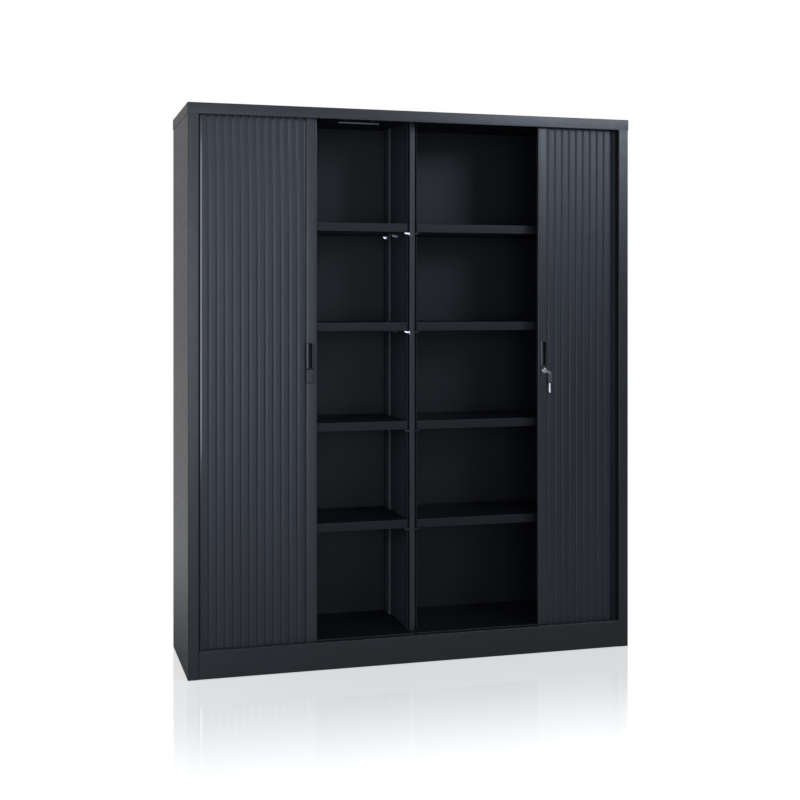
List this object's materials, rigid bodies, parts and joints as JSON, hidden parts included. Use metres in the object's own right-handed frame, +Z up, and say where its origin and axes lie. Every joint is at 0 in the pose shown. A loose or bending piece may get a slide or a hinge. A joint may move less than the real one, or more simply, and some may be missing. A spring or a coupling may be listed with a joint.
{
  "type": "tambour door cabinet",
  "caption": "Tall steel storage cabinet with two sliding ribbed shutters, a lock and key, and two bays of adjustable shelves.",
  "frame": {"origin": "on the floor, under the middle of the cabinet's lid", "axes": "+Z up, the front faces -Y, and +X is to the right for someone facing the front"},
  "size_m": [1.65, 0.47, 1.98],
  "materials": {
    "shell": "satin charcoal powder coat",
    "inner": "satin black powder coat",
    "shutter": "satin charcoal slats",
    "plastic": "moulded black",
    "track": "moulded black, low gloss",
    "nickel": "bright nickel plate",
    "zinc": "bright zinc plate"
  },
  "bodies": {
    "carcass": {"top_cap": "shell", "left_side_panel": "shell", "right_side_panel": "shell", "left_back_panel": "shell", "right_back_panel": "shell", "base_rail": "shell", "base_deck": "inner", "top_deck": "inner", "floor_panel": "inner", "left_liner": "inner", "right_liner": "inner", "left_false_back": "inner", "right_false_back": "inner", "centre_partition": "inner", "left_shelf_1": "inner", "left_shelf_2": "inner", "left_shelf_3": "inner", "left_shelf_4": "inner", "right_shelf_1": "inner", "right_shelf_2": "inner", "right_shelf_3": "inner", "right_shelf_4": "inner", "left_bay_outer_front_upright": "inner", "left_bay_inner_front_upright": "inner", "right_bay_inner_front_upright": "inner", "right_bay_outer_front_upright": "inner", "left_bay_outer_rear_upright": "inner", "left_bay_inner_rear_upright": "inner", "right_bay_inner_rear_upright": "inner", "right_bay_outer_rear_upright": "inner", "left_bottom_track": "track", "left_top_track": "track", "right_bottom_track": "track", "right_top_track": "track", "bottom_centre_stop": "plastic", "top_centre_stop": "plastic", "stay_rod": "zinc"},
    "left_door": {"left_curtain": "shutter", "left_leading_bar": "shutter", "left_bottom_shoe": "plastic", "left_top_shoe": "plastic", "left_handle_cup": "plastic", "keeper_block": "plastic"},
    "right_door": {"right_curtain": "shutter", "right_leading_bar": "shutter", "right_bottom_shoe": "plastic", "right_top_shoe": "plastic", "right_handle_cup": "plastic", "lock_housing": "plastic"},
    "lock_cylinder": {"lock_cylinder": "nickel"},
    "hook_bolt": {"hook_bolt": "zinc"},
    "key": {"key": "nickel"},
    "key_bow": {"key_bow": "plastic"},
    "key_ring": {"key_ring": "nickel"},
    "spare_key": {"spare_key": "nickel"},
    "front_left_foot": {"front_left_foot": "zinc"},
    "front_right_foot": {"front_right_foot": "zinc"},
    "rear_left_foot": {"rear_left_foot": "zinc"},
    "rear_right_foot": {"rear_right_foot": "zinc"}
  },
  "joints": [
    {"name": "left_door_slide", "type": "slide", "parent": "carcass", "child": "left_door", "axis": [-1, 0, 0], "range_m": [-0.3667, 0.353], "deforming": ["left_curtain"]},
    {"name": "right_door_slide", "type": "slide", "parent": "carcass", "child": "right_door", "axis": [1, 0, 0], "range_m": [-0.4682, 0.2515], "deforming": ["right_curtain"]},
    {"name": "lock_turn", "type": "hinge", "parent": "right_door", "child": "lock_cylinder", "pos_m": [0.4935, -0.2138, 1.04035], "axis": [0, -1, 0], "range_deg": [-90, 0]},
    {"name": "hook_throw", "type": "hinge", "parent": "right_door", "child": "hook_bolt", "pos_m": [0.4975, -0.203, 1.01835], "axis": [0, -1, 0], "range_deg": [-90, 0]},
    {"name": "key_slide", "type": "slide", "parent": "lock_cylinder", "child": "key", "axis": [0, -1, 0], "range_m": [0, 0.022]},
    {"name": "bow_fold", "type": "hinge", "parent": "key", "child": "key_bow", "pos_m": [0.4935, -0.2215, 1.04035], "axis": [-0.3746, 0, -0.9272], "range_deg": [0, 90]},
    {"name": "ring_swing", "type": "hinge", "parent": "key_bow", "child": "key_ring", "pos_m": [0.51251, -0.2215, 1.03157], "axis": [0, -1, 0], "range_deg": [0, 90]},
    {"name": "spare_key_swing", "type": "hinge", "parent": "key_ring", "child": "spare_key", "pos_m": [0.51251, -0.2215, 1.02157], "axis": [0, -1, 0], "range_deg": [-25, 25]},
    {"name": "front_left_foot_screw", "type": "slide", "parent": "carcass", "child": "front_left_foot", "axis": [0, 0, -1], "range_m": [0, 0.02]},
    {"name": "front_right_foot_screw", "type": "slide", "parent": "carcass", "child": "front_right_foot", "axis": [0, 0, -1], "range_m": [0, 0.02]},
    {"name": "rear_left_foot_screw", "type": "slide", "parent": "carcass", "child": "rear_left_foot", "axis": [0, 0, -1], "range_m": [0, 0.02]},
    {"name": "rear_right_foot_screw", "type": "slide", "parent": "carcass", "child": "rear_right_foot", "axis": [0, 0, -1], "range_m": [0, 0.02]}
  ],
  "couplings": [
    {"joint": "hook_throw", "follows": "lock_turn", "ratio": 1},
    {"joint": "ring_swing", "follows": "lock_turn", "ratio": -1}
  ]
}
